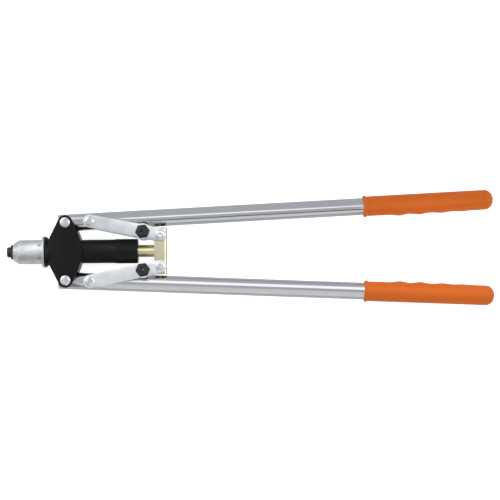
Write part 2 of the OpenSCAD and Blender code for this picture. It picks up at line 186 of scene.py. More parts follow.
def combine(piece, tool, operation):
    """Cuts a tool out of a piece, joins it on, or keeps what both fill. The tool is used up."""
    apply_modifier(piece, "BOOLEAN", object=tool, operation=operation, solver="EXACT")
    bpy.data.objects.remove(tool)
    return piece


def smooth(piece, angle=32.0):
    """Shades smooth across the edges that bend less than an angle."""
    only(piece)
    bpy.ops.object.shade_smooth_by_angle(angle=math.radians(angle))
    return piece


def settle(piece, move=(0, 0, 0), turn=(0, 0, 0), side=1):
    """Moves and turns a piece to its seat, mirrored on side -1, and puts its place in its mesh."""
    only(piece)
    piece.location = Vector((move[0], side * move[1], move[2])) * MM
    piece.rotation_euler = [math.radians(a) for a in (turn[0], turn[1], side * turn[2])]
    piece.scale = (1, side, 1)
    bpy.ops.object.transform_apply(location=True, rotation=True, scale=True)
    clean(piece)
    return piece


def copy_of(piece, name):
    """A copy with its own mesh."""
    twin = piece.copy()
    twin.data = piece.data.copy()
    twin.name = twin.data.name = name
    bpy.context.scene.collection.objects.link(twin)
    return twin


def describe(piece):
    """Prints what was made, with the edges that don't join exactly two faces."""
    mesh = bmesh.new()
    mesh.from_mesh(piece.data)
    loose = sum(not edge.is_manifold for edge in mesh.edges)
    print(f"{piece.name}: {len(mesh.faces)} faces, {loose} open edges, "
          f"{mesh.calc_volume() / MM ** 3 / 1000:.2f} cm3")
    mesh.free()


# %% [markdown]
# ## Lines from one vertex
# A profile is drawn as by hand: one vertex is extruded from point to point. Filled and extruded
# it becomes a plate, and spun about the X axis it becomes a turned piece, as on a lathe. Round
# holes are cut with a cylinder in place of a drill. That keeps every size on the drawing in
# plain sight, which scaling a primitive by eye wouldn't.

# %% Draw, arc, plate and lathe
LATHE_STEPS = 72
HOLE_SIDES = 48


def arc(centre, radius, start, end, steps=8):
    """Points of an arc between two angles in degrees."""
    angles = [math.radians(start + (end - start) * i / steps) for i in range(steps + 1)]
    return [(centre[0] + radius * math.cos(a), centre[1] + radius * math.sin(a)) for a in angles]


def draw(name, points):
    """Extrudes one vertex along points given in millimetres in the XY plane."""
    piece = primitive("plane", name, size=MM)
    path = [Vector((x, y, 0.0)) * MM for x, y in points]
    with editing(piece):
        bpy.ops.mesh.select_all(action="SELECT")
        bpy.ops.mesh.merge(type="CENTER")
        bpy.ops.transform.translate(value=path[0])
        for here, there in zip(path, path[1:]):
            bpy.ops.mesh.extrude_vertices_move(TRANSFORM_OT_translate={"value": there - here})
    return piece


def plate(name, points, bottom, top):
    """Fills an outline and extrudes it from one height to another."""
    piece = draw(name, points)
    with editing(piece):
        bpy.ops.mesh.select_all(action="SELECT")
        bpy.ops.mesh.edge_face_add()
        bpy.ops.transform.translate(value=(0, 0, bottom * MM))
        bpy.ops.mesh.extrude_region_move(
            TRANSFORM_OT_translate={"value": (0, 0, (top - bottom) * MM)})
    clean(piece)
    return piece


def lathe(name, profile, steps=LATHE_STEPS):
    """Spins a profile of (x, radius) points about the X axis."""
    piece = draw(name, profile)
    with editing(piece):
        bpy.ops.mesh.select_all(action="SELECT")
        bpy.ops.mesh.spin(steps=steps, angle=2 * math.pi, center=(0, 0, 0), axis=(1, 0, 0))
    clean(piece)
    return piece


def drill(piece, diameter, x, y, bottom, top):
    """Cuts a round hole along Z between two heights."""
    tool = primitive("cylinder", "drill", vertices=HOLE_SIDES, radius=diameter / 2 * MM,
                     depth=(top - bottom) * MM)
    settle(tool, move=(x, y, (bottom + top) / 2))
    return combine(piece, tool, "DIFFERENCE")


# %% [markdown]
# ## Finishes as expressions
# A finish is a Principled shader whose colour, roughness and relief vary over the surface. Node
# graphs are hard to read as code, so one small class wraps a socket and lets Python's own
# operators add the Math nodes. Numbers that are the same all over go straight onto the shader.

# %% A value that varies over a surface
class Value:
    """Wraps an output socket. Sums, differences and products of it add Math nodes."""

    def __init__(self, finish, socket):
        self.finish = finish
        self.socket = socket

    def math(self, operation, *terms):
        """Adds a Math node for one operation."""
        return self.finish.node("ShaderNodeMath", dict(enumerate(terms)), operation=operation)

    def __add__(self, other):
        return self.math("ADD", self, other)

    def __sub__(self, other):
        return self.math("SUBTRACT", self, other)

    def __mul__(self, other):
        return self.math("MULTIPLY", self, other)

    def __rsub__(self, other):
        return self.math("SUBTRACT", other, self)

    __radd__ = __add__
    __rmul__ = __mul__


# %% One finish
class Finish:
    """One procedural material on Object coordinates, in metres."""

    def __init__(self, name, **constants):
        self.material = bpy.data.materials.new(name)
        self.material.use_nodes = True
        self.tree = self.material.node_tree
        self.shader = self.tree.nodes["Principled BSDF"]
        for socket, value in constants.items():
            self.shader.inputs[socket.replace("_", " ")].default_value = value

    def node(self, kind, inputs=None, out=0, stops=None, **settings):
        """Adds any node: its settings first, then a ramp's stops, then what its sockets get."""
        made = self.tree.nodes.new(kind)
        for setting, value in settings.items():
            setattr(made, setting, value)
        for index, (position, tone) in enumerate(stops or []):
            ramp = made.color_ramp.elements
            stop = ramp[index] if index < 2 else ramp.new(position)
            stop.position, stop.color = position, tone
        for socket, value in (inputs or {}).items():
            self.feed(made.inputs[socket], value)
        return Value(self, made.outputs[out])

    def feed(self, socket, value):
        """Links a varying value to a socket, or sets a constant on it."""
        if isinstance(value, Value):
            self.tree.links.new(value.socket, socket)
        else:
            socket.default_value = value

    def place(self, origin=(0, 0, 0), turn=0.0, stretch=(1, 1, 1)):
        """Object coordinates seen from a piece's own origin and angle, then stretched."""
        here = self.node("ShaderNodeTexCoord", out="Object")
        local = self.node("ShaderNodeMapping", {
            "Vector": here, "Location": Vector(origin) * MM,
            "Rotation": (0, 0, math.radians(turn))}, vector_type="TEXTURE")
        return self.node("ShaderNodeMapping", {"Vector": local, "Scale": stretch})

    def noise(self, where, scale, detail=2.0, rough=0.5):
        """Noise with a mean near 0.5. The scale is in waves to the metre."""
        return self.node("ShaderNodeTexNoise", {
            "Vector": where, "Scale": scale, "Detail": detail, "Roughness": rough})

    def ease(self, value, low, high):
        """Rises smoothly from 0 at one value to 1 at another and holds there."""
        return self.node("ShaderNodeMapRange", {
            "Value": value, "From Min": low, "From Max": high}, interpolation_type="SMOOTHSTEP")

    def blend(self, share, first, second):
        """Mixes two colours."""
        return self.node("ShaderNodeMix", {0: share, 6: first, 7: second}, out=2,
                         data_type="RGBA")

    def coat(self, colour=None, roughness=None, relief=None):
        """Feeds the shader. Relief is a height in metres."""
        if colour:
            self.feed(self.shader.inputs["Base Color"], colour)
        if roughness:
            self.feed(self.shader.inputs["Roughness"], roughness)
        if relief:
            self.feed(self.shader.inputs["Normal"], self.node(
                "ShaderNodeBump", {"Height": relief, "Distance": 1.0, "Strength": 1.0}))
        return self.material


def grey(level):
    """A neutral colour of one linear level."""
    return (level, level, level, 1.0)


def shade(digits):
    """A colour from its six usual digits, in the linear values that a shader expects."""
    parts = [int(digits[i:i + 2], 16) / 255 for i in (0, 2, 4)]
    return [p / 12.92 if p <= 0.04045 else ((p + 0.055) / 1.055) ** 2.4 for p in parts] + [1.0]


# %% [markdown]
# ## Chrome on the handle tubes
# The tubes are drawn steel with bright chrome over it, so nearly all of their look is what they
# mirror. A flawless mirror looks like a toy, though: real chrome keeps the long hairlines of the
# polishing belt and a faint haze from handling. Both follow the tube, so the pattern is read
# from the handle's own origin and angle.

# %% Chrome
HAIRLINE_STRETCH = (9, 900, 900)
HAIRLINE_DEPTH = 0.000002
HAZE_STRETCH = (14, 40, 40)
CHROME_TONES = ((0.56, 0.57, 0.59, 1), (0.63, 0.64, 0.66, 1))


def chrome(half):
    """Bright chrome along one handle."""
    side = HALVES[half]
    finish = Finish(f"chrome_{half}", Metallic=1.0)
    origin, turn = (PIVOT.x, side * PIVOT.y, 0), side * HANDLE_ANGLE
    hairline = finish.noise(finish.place(origin, turn, HAIRLINE_STRETCH), 1.0, 3.0)
    haze = finish.noise(finish.place(origin, turn, HAZE_STRETCH), 1.0, 4.0)
    return finish.coat(
        colour=finish.blend(haze, *CHROME_TONES),
        roughness=0.05 + 0.06 * haze + 0.05 * hairline,
        relief=hairline * HAIRLINE_DEPTH)


chromes = {half: chrome(half) for half in HALVES}
print("chrome finishes:", [finish.name for finish in chromes.values()])

# %% [markdown]
# ## Plated and turned steel
# The other metals differ in three things: their colour, how blurred they mirror, and the grain
# that their last operation left. Zinc plate is pale and satin over the rolling grain of the
# strip, rivet heads are bright with the small dents of the set, the sleeve has the fine rings of
# the lathe, and black oxide is dark steel with wear on it. One function with those three things
# as its arguments keeps them a family.

# %% Metals
PIT_WAVES = 1100.0


def metal(name, dark, light, rough, grain=(60, 700, 700), origin=(0, 0, 0), turn=0.0,
          groove=0.000003, dent=0.0, patch=70.0):
    """A metal between two colours. Rough is a pair, grain stretches the noise, depths in metres."""
    finish = Finish(name, Metallic=1.0)
    where = finish.place(origin, turn)
    lines = finish.noise(finish.place(origin, turn, grain), 1.0, 3.0)
    cloud = finish.noise(where, patch, 4.0, 0.6)
    pits = finish.noise(where, PIT_WAVES)
    return finish.coat(
        colour=finish.blend(finish.ease(cloud, 0.3, 0.7), shade(dark), shade(light)),
        roughness=rough[0] + (rough[1] - rough[0]) * (0.6 * cloud + 0.4 * lines),
        relief=lines * groove + pits * dent)


# The lower links' zinc is painted lighter than the upper links': painted light, for the brighter
# light that falls on the lower half.
zinc_tones_with_painted_light = {"upper": ("d5d9dc", "e6e9eb"), "lower": ("ebeef1", "f8fafb")}
zinc = {half: metal(f"satin_zinc_painted_light_{half}", *zinc_tones_with_painted_light[half], (0.30, 0.46), (50, 900, 900),
                    (FRONT_PIN.x, side * FRONT_PIN.y, 0), side * LINK_ANGLE, dent=0.000004)
        for half, side in HALVES.items()}
rivet_steel = metal("bright_rivet", "d6d9db", "f2f4f5", (0.16, 0.34), (300, 300, 300),
                    groove=0.000006, dent=0.000009, patch=260.0)
turned_aluminium = metal("turned_aluminium", "c8cccd", "e1e3e3", (0.38, 0.50), (2200, 60, 60),
                         groove=0.000004, dent=0.000003)
black_oxide = metal("black_oxide", "35373a", "47494c", (0.40, 0.56), (400, 400, 400),
                    groove=0.000004, dent=0.000006, patch=300.0)
tool_steel = metal("tool_steel", "6f7275", "8d9092", (0.28, 0.40), (1500, 80, 80))
spring_steel = metal("spring_steel", "5c5f63", "85888c", (0.25, 0.38), (300, 300, 300))
brass = metal("pusher_brass", "b08d4a", "cfae68", (0.26, 0.40), (1800, 80, 80))
bush_steel = metal("bush_steel", "8e9194", "a9acae", (0.34, 0.46), (60, 60, 1500))

# %% [markdown]
# ## Yellow passivated zinc
# The crosshead and the pull rod are zinc plated and dipped in a chromate bath, which leaves a
# thin film in pale gold that drifts towards green and rose. A gradient through three colours,
# driven by slow noise, gives that drift without any picture.

# %% Yellow zinc
DRIFT_STRETCH = (60, 45, 60)


def yellow_zinc(name, tones, rough, grain, groove):
    """A metal that drifts through three tones, over the grain of its last operation."""
    finish = Finish(name, Metallic=1.0)
    drift = finish.noise(finish.place(stretch=DRIFT_STRETCH), 1.0, 3.0, 0.55)
    film = finish.node("ShaderNodeValToRGB", {"Fac": drift},
                       stops=[(0.28, shade(tones[0])), (0.72, shade(tones[2])),
                              (0.5, shade(tones[1]))])
    lines = finish.noise(finish.place(stretch=grain), 1.0, 3.0)
    return finish.coat(colour=film, roughness=rough + 0.14 * lines, relief=lines * groove)


crosshead_gold = yellow_zinc("yellow_zinc", ("cbc5aa", "d7d0b4", "cfc5ae"), 0.30, (900, 60, 900),
                             0.000004)
rod_gold = yellow_zinc("yellow_zinc_turned", ("dad292", "eee8b4", "e2daa7"), 0.24, (1500, 60, 60),
                       0.000001)

# %% [markdown]
# ## Black powder coat
# The casting is sprayed with powder and baked. The coat is deep black with a soft sheen, and its
# skin has the fine ripple that painters call orange peel, with a grain of dust here and there.

# %% Powder coat
PEEL_WAVES = 620.0
PEEL_DEPTH = 0.000022
FINE_WAVES = 2600.0
FINE_DEPTH = 0.000004


def powder_coat():
    """Baked black powder, with ripple and dust."""
    finish = Finish("black_powder_coat", Specular_IOR_Level=0.14)
    where = finish.place()
    peel = finish.noise(where, PEEL_WAVES)
    fine = finish.noise(where, FINE_WAVES)
    dust = finish.ease(fine, 0.70, 0.78)
    return finish.coat(
        colour=finish.blend(dust, shade("161617"), shade("4a4a4c")),
        roughness=0.26 + 0.14 * peel,
        relief=peel * PEEL_DEPTH + fine * FINE_DEPTH)


powder = powder_coat()
print("peel waves", round(1000 / PEEL_WAVES, 1), "mm long")

# %% [markdown]
# ## Orange vinyl
# The grips are moulded vinyl: an even orange with slightly darker flow marks along the grip, a
# satin skin, and a very fine grain over slow waves, which together break up the highlights.

# %% Vinyl
FLOW_STRETCH = (11, 90, 90)
SKIN_WAVES = 2100.0
SKIN_DEPTH = 0.000007
SLOW_WAVES = 160.0
SLOW_DEPTH = 0.00006


def vinyl(half):
    """Orange vinyl along one handle."""
    side = HALVES[half]
    finish = Finish(f"orange_vinyl_{half}", Specular_IOR_Level=0.25)
    origin, turn = (PIVOT.x, side * PIVOT.y, 0), side * HANDLE_ANGLE
    flow = finish.noise(finish.place(origin, turn, FLOW_STRETCH), 1.0, 3.0)
    skin = finish.noise(finish.place(), SKIN_WAVES)
    wave = finish.noise(finish.place(), SLOW_WAVES)
    return finish.coat(
        colour=finish.blend(finish.ease(flow, 0.3, 0.72), shade("bb560b"), shade("c35d0f")),
        roughness=0.36 + 0.18 * wave,
        relief=skin * SKIN_DEPTH + wave * SLOW_DEPTH)


vinyls = {half: vinyl(half) for half in HALVES}
print("finishes:", len(bpy.data.materials))

# %% [markdown]
# ## The grips
# A grip is a thick vinyl sleeve that is pushed over the tube: a flared lip in front with a
# shallow groove behind it, four finger swells on the side that faces the other handle, and a
# closed end with the dome of half an ellipse. It could be one displaced cylinder, but the lip and
# the end need exact radii. So a circle is extruded and resized ring by ring, the swells are
# pulled out with proportional editing, and the front ring is extruded back inside to give the
# sleeve its wall.

# %% Grip sizes
HANDLE_REACH = 474.6
GRIP_LENGTH = 144.0
GRIP_RADIUS = 11.1
GRIP_START = HANDLE_REACH - GRIP_LENGTH
END_DEPTH = 9.2
TUBE_END = HANDLE_REACH - 7.0
BORE_RADIUS = 9.6
LIP_RADIUS = 12.1
SWELL_PITCH = 22.8
SWELL_START = GRIP_START + 40.0
SWELL_HEIGHTS = (1.5, 1.35, 0.9, 0.5)
GRIP_SIDES = 56
SWELL_REACH = 0.46 * SWELL_PITCH
SWELL_EDGE = -0.45 * GRIP_RADIUS
LIP_LENGTH = 6.6
RING_STEP = 2.5
RING_COUNT = 50
DOME_INSET = 0.55
MOUTH_CHAMFER = 0.4
MOUTH_DEPTH = 0.6
lip = [(-0.7, 11.2), (-0.5, 11.7), (0.1, 12.0), (0.9, LIP_RADIUS), (1.8, 12.0), (2.6, 11.6),
       (3.2, 11.15), (3.8, 10.95), (4.5, 10.92), (5.4, 11.02), (LIP_LENGTH, GRIP_RADIUS)]
barrel = [(LIP_LENGTH + RING_STEP * i, GRIP_RADIUS) for i in range(1, RING_COUNT + 1)]
round_end = [(GRIP_LENGTH - END_DEPTH * (1 - along), GRIP_RADIUS * out)
             for along, out in arc((0, 0), 1.0, 88, 12, 9)]
rings = [(GRIP_START + x, r) for x, r in lip + barrel + round_end]
print("rings in a grip:", len(rings), "from", rings[0][0], "to", round(rings[-1][0], 2), "mm")


# %% Model a grip
def step_ring(here, there):
    """Extrudes the selected ring to the next (x, radius) and resizes it."""
    bpy.ops.mesh.extrude_region_move(
        TRANSFORM_OT_translate={"value": ((there[0] - here[0]) * MM, 0, 0)})
    grow = there[1] / here[1]
    bpy.ops.transform.resize(value=(1, grow, grow), center_override=(there[0] * MM, 0, 0))


def model_grip(name):
    """A grip along X with its tube's pivot at the origin."""
    grip = primitive("circle", name, vertices=GRIP_SIDES, radius=rings[0][1] * MM)
    settle(grip, move=(rings[0][0], 0, 0), turn=(0, 90, 0))
    with editing(grip):
        bpy.ops.mesh.select_all(action="SELECT")
        for here, there in zip(rings, rings[1:]):
            step_ring(here, there)
        bpy.ops.mesh.edge_face_add()
        bpy.ops.mesh.inset(thickness=rings[-1][1] * DOME_INSET * MM)
        bpy.ops.transform.translate(value=((HANDLE_REACH - rings[-1][0]) * MM, 0, 0))
        pick(grip, "VERT", lambda v: v.co.x < (rings[0][0] + 0.01) * MM)
        inside = [rings[0], (rings[0][0] + 0.1, BORE_RADIUS + MOUTH_CHAMFER),
                  (rings[0][0] + MOUTH_DEPTH, BORE_RADIUS), (TUBE_END + 0.2, BORE_RADIUS)]
        for here, there in zip(inside, inside[1:]):
            step_ring(here, there)
        bpy.ops.mesh.edge_face_add()
        for index, height in enumerate(SWELL_HEIGHTS):
            centre = SWELL_START + index * SWELL_PITCH
            nearest = min((x for x, _ in rings), key=lambda x: abs(x - centre))
            pick(grip, "VERT", lambda v: abs(v.co.x / MM - nearest) < 0.1
                 and v.co.y / MM < SWELL_EDGE)
            bpy.ops.transform.translate(
                value=(0, -height * MM, 0), use_proportional_edit=True,
                proportional_edit_falloff="SMOOTH", proportional_size=SWELL_REACH * MM)
    clean(grip)
    apply_modifier(grip, "SUBSURF", levels=1, render_levels=1)
    return smooth(grip, 60)


# %% Both grips
first_grip = model_grip("upper_vinyl_grip")
grips = {"upper": first_grip, "lower": copy_of(first_grip, "lower_vinyl_grip")}
for half, side in HALVES.items():
    grip = settle(grips[half], move=PIVOT, turn=(0, 0, HANDLE_ANGLE), side=side)
    grip.data.materials.append(vinyls[half])
    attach(grip, f"{half}_handle")
    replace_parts(grip, f"{half}_grip")
    describe(grip)

# %% [markdown]
# ## The link plates
# Four stamped strips tie the handles to the crosshead. Each one widens to an eye: on top the
# spare nosepieces are screwed into it. Stamping rolls the edges over a little, and that soft
# edge is what catches the light. The whole outline, the eye's two bulges included, is drawn in
# one line and extruded. Joining the eye on as a disc would leave its arc across the flat faces,
# and a bevel would trip over it. The holes are drilled after that, and only the outer edges are
# beveled, since pins cover the holes.

# %% Link plate sizes
PLATE_BOTTOM = 9.8
PLATE_TOP = 12.8
FRONT_RADIUS = 7.3
WAIST_RADIUS = 7.9
REAR_RADIUS = 6.65
EYE = (59.5, -0.2)
EYE_RADIUS = 9.2
THREAD_BORE = 10.04
PIN_BORE = 7.12
RIVET_BORE = 5.54
THROUGH_PLATE = (0, 20)
HOLE_MARGIN = 0.3
RIM_BEND = 1.0
RIM_BEVEL = 0.45
lean_front = math.degrees(math.acos((FRONT_RADIUS - WAIST_RADIUS) / EYE[0]))
lean_rear = math.degrees(math.acos((WAIST_RADIUS - REAR_RADIUS) / (LINK_LENGTH - EYE[0])))
front_end = arc((0, 0), FRONT_RADIUS, lean_front, 360 - lean_front, 28)
rear_end = arc((LINK_LENGTH, 0), REAR_RADIUS, -lean_rear, lean_rear, 28)


def eye_angle(end_point, waist_side):
    """The angle on the eye's circle where the strip's side from an end runs into it."""
    waist = Vector((EYE[0], waist_side * WAIST_RADIUS))
    hit = next(p for p in intersect_line_sphere_2d(end_point, waist, EYE, EYE_RADIUS) if p)
    return math.degrees(math.atan2(hit.y - EYE[1], hit.x - EYE[0])) % 360


sides = ((front_end[-1], rear_end[0], -1), (rear_end[-1], front_end[0], 1))
bulges = [arc(EYE, EYE_RADIUS, eye_angle(start, side), eye_angle(end, side), 18)
          for start, end, side in sides]
strip = front_end + bulges[0] + rear_end + bulges[1]
print("points in the strip's outline:", len(strip), "bulges from",
      [[round(c, 1) for c in bulge[0]] for bulge in bulges])


# %% Model a link plate
def is_outer_rim(edge):
    """An edge round the flat faces that doesn't belong to a hole. Bends are in radians."""
    middle = (edge.verts[0].co + edge.verts[1].co) / 2 / MM
    holes = ((0, 0, PIN_BORE), (LINK_LENGTH, 0, RIVET_BORE), (*EYE, THREAD_BORE))
    clear = all(math.hypot(middle.x - x, middle.y - y) > d / 2 + HOLE_MARGIN
                for x, y, d in holes)
    return is_level(edge) and clear and edge.calc_face_angle(0.0) > RIM_BEND


def model_link_plate(name, with_thread):
    """A link plate along X with its front pin at the origin, at the height of the top plates."""
    link = plate(name, strip, PLATE_BOTTOM, PLATE_TOP)
    drill(link, PIN_BORE, 0, 0, *THROUGH_PLATE)
    drill(link, RIVET_BORE, LINK_LENGTH, 0, *THROUGH_PLATE)
    if with_thread:
        drill(link, THREAD_BORE, *EYE, *THROUGH_PLATE)
    with editing(link):
        rims = pick(link, "EDGE", is_outer_rim)
        bpy.ops.mesh.bevel(offset=RIM_BEVEL * MM, segments=3, affect="EDGES")
    print(name, "rim edges beveled:", rims)
    return smooth(link, 35)


# %% All four link plates
drilled = model_link_plate("upper_link_plate_top", True)
plain = model_link_plate("upper_link_plate_bottom", False)
with editing(plain):
    bpy.ops.mesh.select_all(action="SELECT")
    bpy.ops.transform.translate(value=(0, 0, -(PLATE_BOTTOM + PLATE_TOP) * MM))
plates = {("upper", "top"): drilled,
          ("lower", "top"): copy_of(drilled, "lower_link_plate_top"),
          ("upper", "bottom"): plain,
          ("lower", "bottom"): copy_of(plain, "lower_link_plate_bottom")}
for (half, level), link in plates.items():
    settle(link, move=FRONT_PIN, turn=(0, 0, LINK_ANGLE), side=HALVES[half])
    # The lower half's zinc is painted lighter than the upper half's, as painted light.
    link.data.materials.append(zinc[half])
    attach(link, f"{half}_link")
    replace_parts(link, f"{half}_link_{level}_plate")
    describe(link)

# %% [markdown]
# ## The crosshead
# A channel bent from 2.5 mm strip joins the rear ends of the links to the pull rod. It is made
# as the press brake makes it: a flat web, two flanges folded off its edges, a bevel for the
# bend radius and Solidify for the thickness. A cube with a slot would have no bend, and the
# bend is the bright line that runs along its rear edge.

# %% Crosshead sizes
CROSSHEAD_LENGTH = 13.7
CROSSHEAD_WIDTH = 51.8
CROSSHEAD_HEIGHT = 19.0
STRIP_THICKNESS = 2.5
BEND_RADIUS = 2.8
RIVET_PLAY = 9.6
SPIGOT_RADIUS = 4.52
SPIGOT_CHAMFER = 1.08
SPIGOT_CUT = 4
THROUGH_CHANNEL = (-15, 15)
SHEARED_BEND = 1.2
SHEARED_BEVEL = 0.3
crosshead_rear = REAR_PIN.x + CROSSHEAD_LENGTH / 2

# %% Fold the channel
crosshead = primitive("plane", "crosshead_channel", size=MM)
settle(crosshead, move=(crosshead_rear, 0, 0), turn=(0, 90, 0))
with editing(crosshead):
    bpy.ops.mesh.select_all(action="SELECT")
    bpy.ops.transform.resize(value=(1, CROSSHEAD_WIDTH, CROSSHEAD_HEIGHT),
                             center_override=(crosshead_rear * MM, 0, 0))
    long_sides = pick(crosshead, "EDGE", is_level)
    bpy.ops.mesh.extrude_edges_move(
        TRANSFORM_OT_translate={"value": (-CROSSHEAD_LENGTH * MM, 0, 0)})
    folds = pick(crosshead, "EDGE", lambda e: len(e.link_faces) == 2)
    bpy.ops.mesh.bevel(offset=BEND_RADIUS * MM, segments=8, affect="EDGES")
print("edges extruded:", long_sides, "folds:", folds)

# %% Thicken and drill it
clean(crosshead)
apply_modifier(crosshead, "SOLIDIFY", thickness=STRIP_THICKNESS * MM, offset=-1.0,
               use_even_offset=True)
clean(crosshead)
print("web from", round(min(v.co.x for v in crosshead.data.vertices) / MM, 2), "to",
      round(max(v.co.x for v in crosshead.data.vertices) / MM, 2), "mm")
for side in HALVES.values():
    drill(crosshead, RIVET_PLAY, REAR_PIN.x, side * REAR_PIN.y, *THROUGH_CHANNEL)
spigot = lathe("spigot_hole", [(crosshead_rear - SPIGOT_CUT, 0),
                               (crosshead_rear - SPIGOT_CUT, SPIGOT_RADIUS),
                               (crosshead_rear - 1, SPIGOT_RADIUS),
                               (crosshead_rear + 0.1, SPIGOT_RADIUS + SPIGOT_CHAMFER),
                               (crosshead_rear + 0.1, 0)])
combine(crosshead, spigot, "DIFFERENCE")
with editing(crosshead):
    sheared = pick(crosshead, "EDGE", lambda e: e.calc_face_angle(0.0) > SHEARED_BEND
                   and e.is_convex and e.calc_length() > 0.9 * MM)
    bpy.ops.mesh.bevel(offset=SHEARED_BEVEL * MM, segments=2, affect="EDGES")
smooth(crosshead)
crosshead.data.materials.append(crosshead_gold)
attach(crosshead, "pull")
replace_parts(crosshead, "crosshead")
print("sheared edges beveled:", sheared)
describe(crosshead)

# %% [markdown]
# ## The body casting
# The casting is one piece of alloy: a diamond head whose two cheeks hold the handle pivots, a
# block between them with a round pocket for each tube, a neck and flange in front, and a long
# barrel behind. It is made here in the same order as on the drawing. The diamond is drawn and
# extruded, the pockets are milled out of it, its convex edges are rounded as a mould leaves
# them, and a turned body is joined through it and bored.

# %% Casting sizes
CASTING_SIDES = 96
LOBE_RADIUS = 8.0
CHEEK_SPAN = 29.0
SLOT_GAP = 19.8
POCKET_RADIUS = 13.6
SLOT_SIDE = 10.3
ARC_CENTRE = (32.7, 0.0)
ARC_RADIUS = 50.9
FRONT_CORNER = (48.3, 15.7)
CAST_BEND = 0.9
EDGE_ROUNDING = 0.7
MILL_REACH = 60
from_corner = (PIVOT.x - FRONT_CORNER[0], PIVOT.y - FRONT_CORNER[1])
side_angle = (math.atan2(from_corner[1], from_corner[0])
              + math.asin(LOBE_RADIUS / math.hypot(*from_corner)))
touch_angle = math.degrees(side_angle) + 90
from_arc = (PIVOT.x - ARC_CENTRE[0], PIVOT.y - ARC_CENTRE[1])
leave_angle = math.degrees(math.atan2(from_arc[1], from_arc[0])
                           - math.acos((ARC_RADIUS - LOBE_RADIUS) / math.hypot(*from_arc)))
lobe = arc((PIVOT.x, PIVOT.y), LOBE_RADIUS, touch_angle, leave_angle, 20)
rear_arc = arc(ARC_CENTRE, ARC_RADIUS, leave_angle, -leave_angle, 40)
diamond = ([FRONT_CORNER] + lobe + rear_arc
           + [(x, -y) for x, y in reversed(lobe)] + [(FRONT_CORNER[0], -FRONT_CORNER[1])])
print("straight side behind a lobe at", round(leave_angle, 2), "degrees, outline points",
      len(diamond))

# %% Diamond with its pockets
casting = plate("body_casting_painted", diamond, -CHEEK_SPAN / 2, CHEEK_SPAN / 2)
for side in HALVES.values():
    pocket = primitive("cylinder", "pocket", vertices=CASTING_SIDES, radius=POCKET_RADIUS * MM,
                       depth=SLOT_GAP * MM)
    settle(pocket, move=PIVOT, side=side)
    combine(casting, pocket, "DIFFERENCE")
    mill = plate("mill", [(0, -SLOT_SIDE), (MILL_REACH, -SLOT_SIDE), (MILL_REACH, MILL_REACH),
                          (0, MILL_REACH)], -SLOT_GAP / 2, SLOT_GAP / 2)
    settle(mill, move=PIVOT, turn=(0, 0, HANDLE_ANGLE), side=side)
    combine(casting, mill, "DIFFERENCE")
clean(casting)
describe(casting)

# %% Rounded edges
with editing(casting):
    rims = pick(casting, "EDGE", lambda e: e.is_convex and e.calc_face_angle(0.0) > CAST_BEND)
    bpy.ops.mesh.bevel(offset=EDGE_ROUNDING * MM, segments=3, affect="EDGES", clamp_overlap=True)
print("convex edges rounded:", rims)
describe(casting)

# %% Turned body through it
SEAT_X = 42.0
FLANGE_RADIUS = 17.0
FLANGE_EDGE = 0.5
NECK_RADIUS = 14.95
NECK_END = 49.6
BARREL_RADIUS = 13.1
BARREL_START = 53.0
COLLAR_RADIUS = 13.55
COLLAR_X = 119.4
BARREL_END = 145.0
BARREL_ROUNDING = 1
turned_body = lathe("turned_body", [
    (SEAT_X, 0), (SEAT_X, FLANGE_RADIUS - FLANGE_EDGE),
    *arc((SEAT_X + FLANGE_EDGE, FLANGE_RADIUS - FLANGE_EDGE), FLANGE_EDGE, 180, 90, 3)[1:],
    (SEAT_X + 1.5, FLANGE_RADIUS), (SEAT_X + 2.0, FLANGE_RADIUS - 0.3),
    (SEAT_X + 3.6, NECK_RADIUS + 0.3), (SEAT_X + 4.6, NECK_RADIUS), (NECK_END, NECK_RADIUS),
    (51.4, BARREL_RADIUS + 1.2), (BARREL_START, BARREL_RADIUS), (COLLAR_X, BARREL_RADIUS),
    (COLLAR_X + 0.9, COLLAR_RADIUS - 0.06), (COLLAR_X + 1.4, COLLAR_RADIUS),
    (BARREL_END - BARREL_ROUNDING, COLLAR_RADIUS),
    *arc((BARREL_END - BARREL_ROUNDING, COLLAR_RADIUS - BARREL_ROUNDING), BARREL_ROUNDING,
         90, 0, 4)[1:], (BARREL_END, 0)], CASTING_SIDES)
combine(casting, turned_body, "UNION")
describe(casting)

# %% Bores
SPIGOT_BORE = 11.02
SPIGOT_DEPTH_X = 56.4
CAVITY_RADIUS = 9.2
CAVITY_END = 76.6
ROD_BORE = 6.73
ROD_BORE_START = 78.6
PIVOT_BORE = 8.04
THROUGH_CHEEKS = (-20, 20)
bore = lathe("bore", [(SEAT_X - 1, 0), (SEAT_X - 1, SPIGOT_BORE), (SPIGOT_DEPTH_X, SPIGOT_BORE),
                      (SPIGOT_DEPTH_X, CAVITY_RADIUS), (CAVITY_END, CAVITY_RADIUS),
                      (ROD_BORE_START, ROD_BORE),
                      (BARREL_END - 0.6, ROD_BORE), (BARREL_END + 0.5, ROD_BORE + 1.1),
                      (BARREL_END + 0.5, 0)], CASTING_SIDES)
combine(casting, bore, "DIFFERENCE")
for side in HALVES.values():
    drill(casting, PIVOT_BORE, PIVOT.x, side * PIVOT.y, *THROUGH_CHEEKS)
clean(casting)
smooth(casting, 38)
casting.data.materials.append(powder)
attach(casting, "frame")
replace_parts(casting, "body_casting")
describe(casting)

# %% [markdown]
# ## The nosepieces
# A nosepiece is a small turned part: a round tip that presses on the rivet, a hexagon for the
# spanner, a short thread and a cone that opens the jaws. One is fitted in the head, and two
# spare ones for other rivet sizes are screwed into the links. The turned part is spun from its
# profile with the thread as fine ridges: at a pitch of 1 mm the eye can't tell rings from a
# helix, and rings close cleanly. The hexagon is a six-sided cylinder whose corners a cone trims.

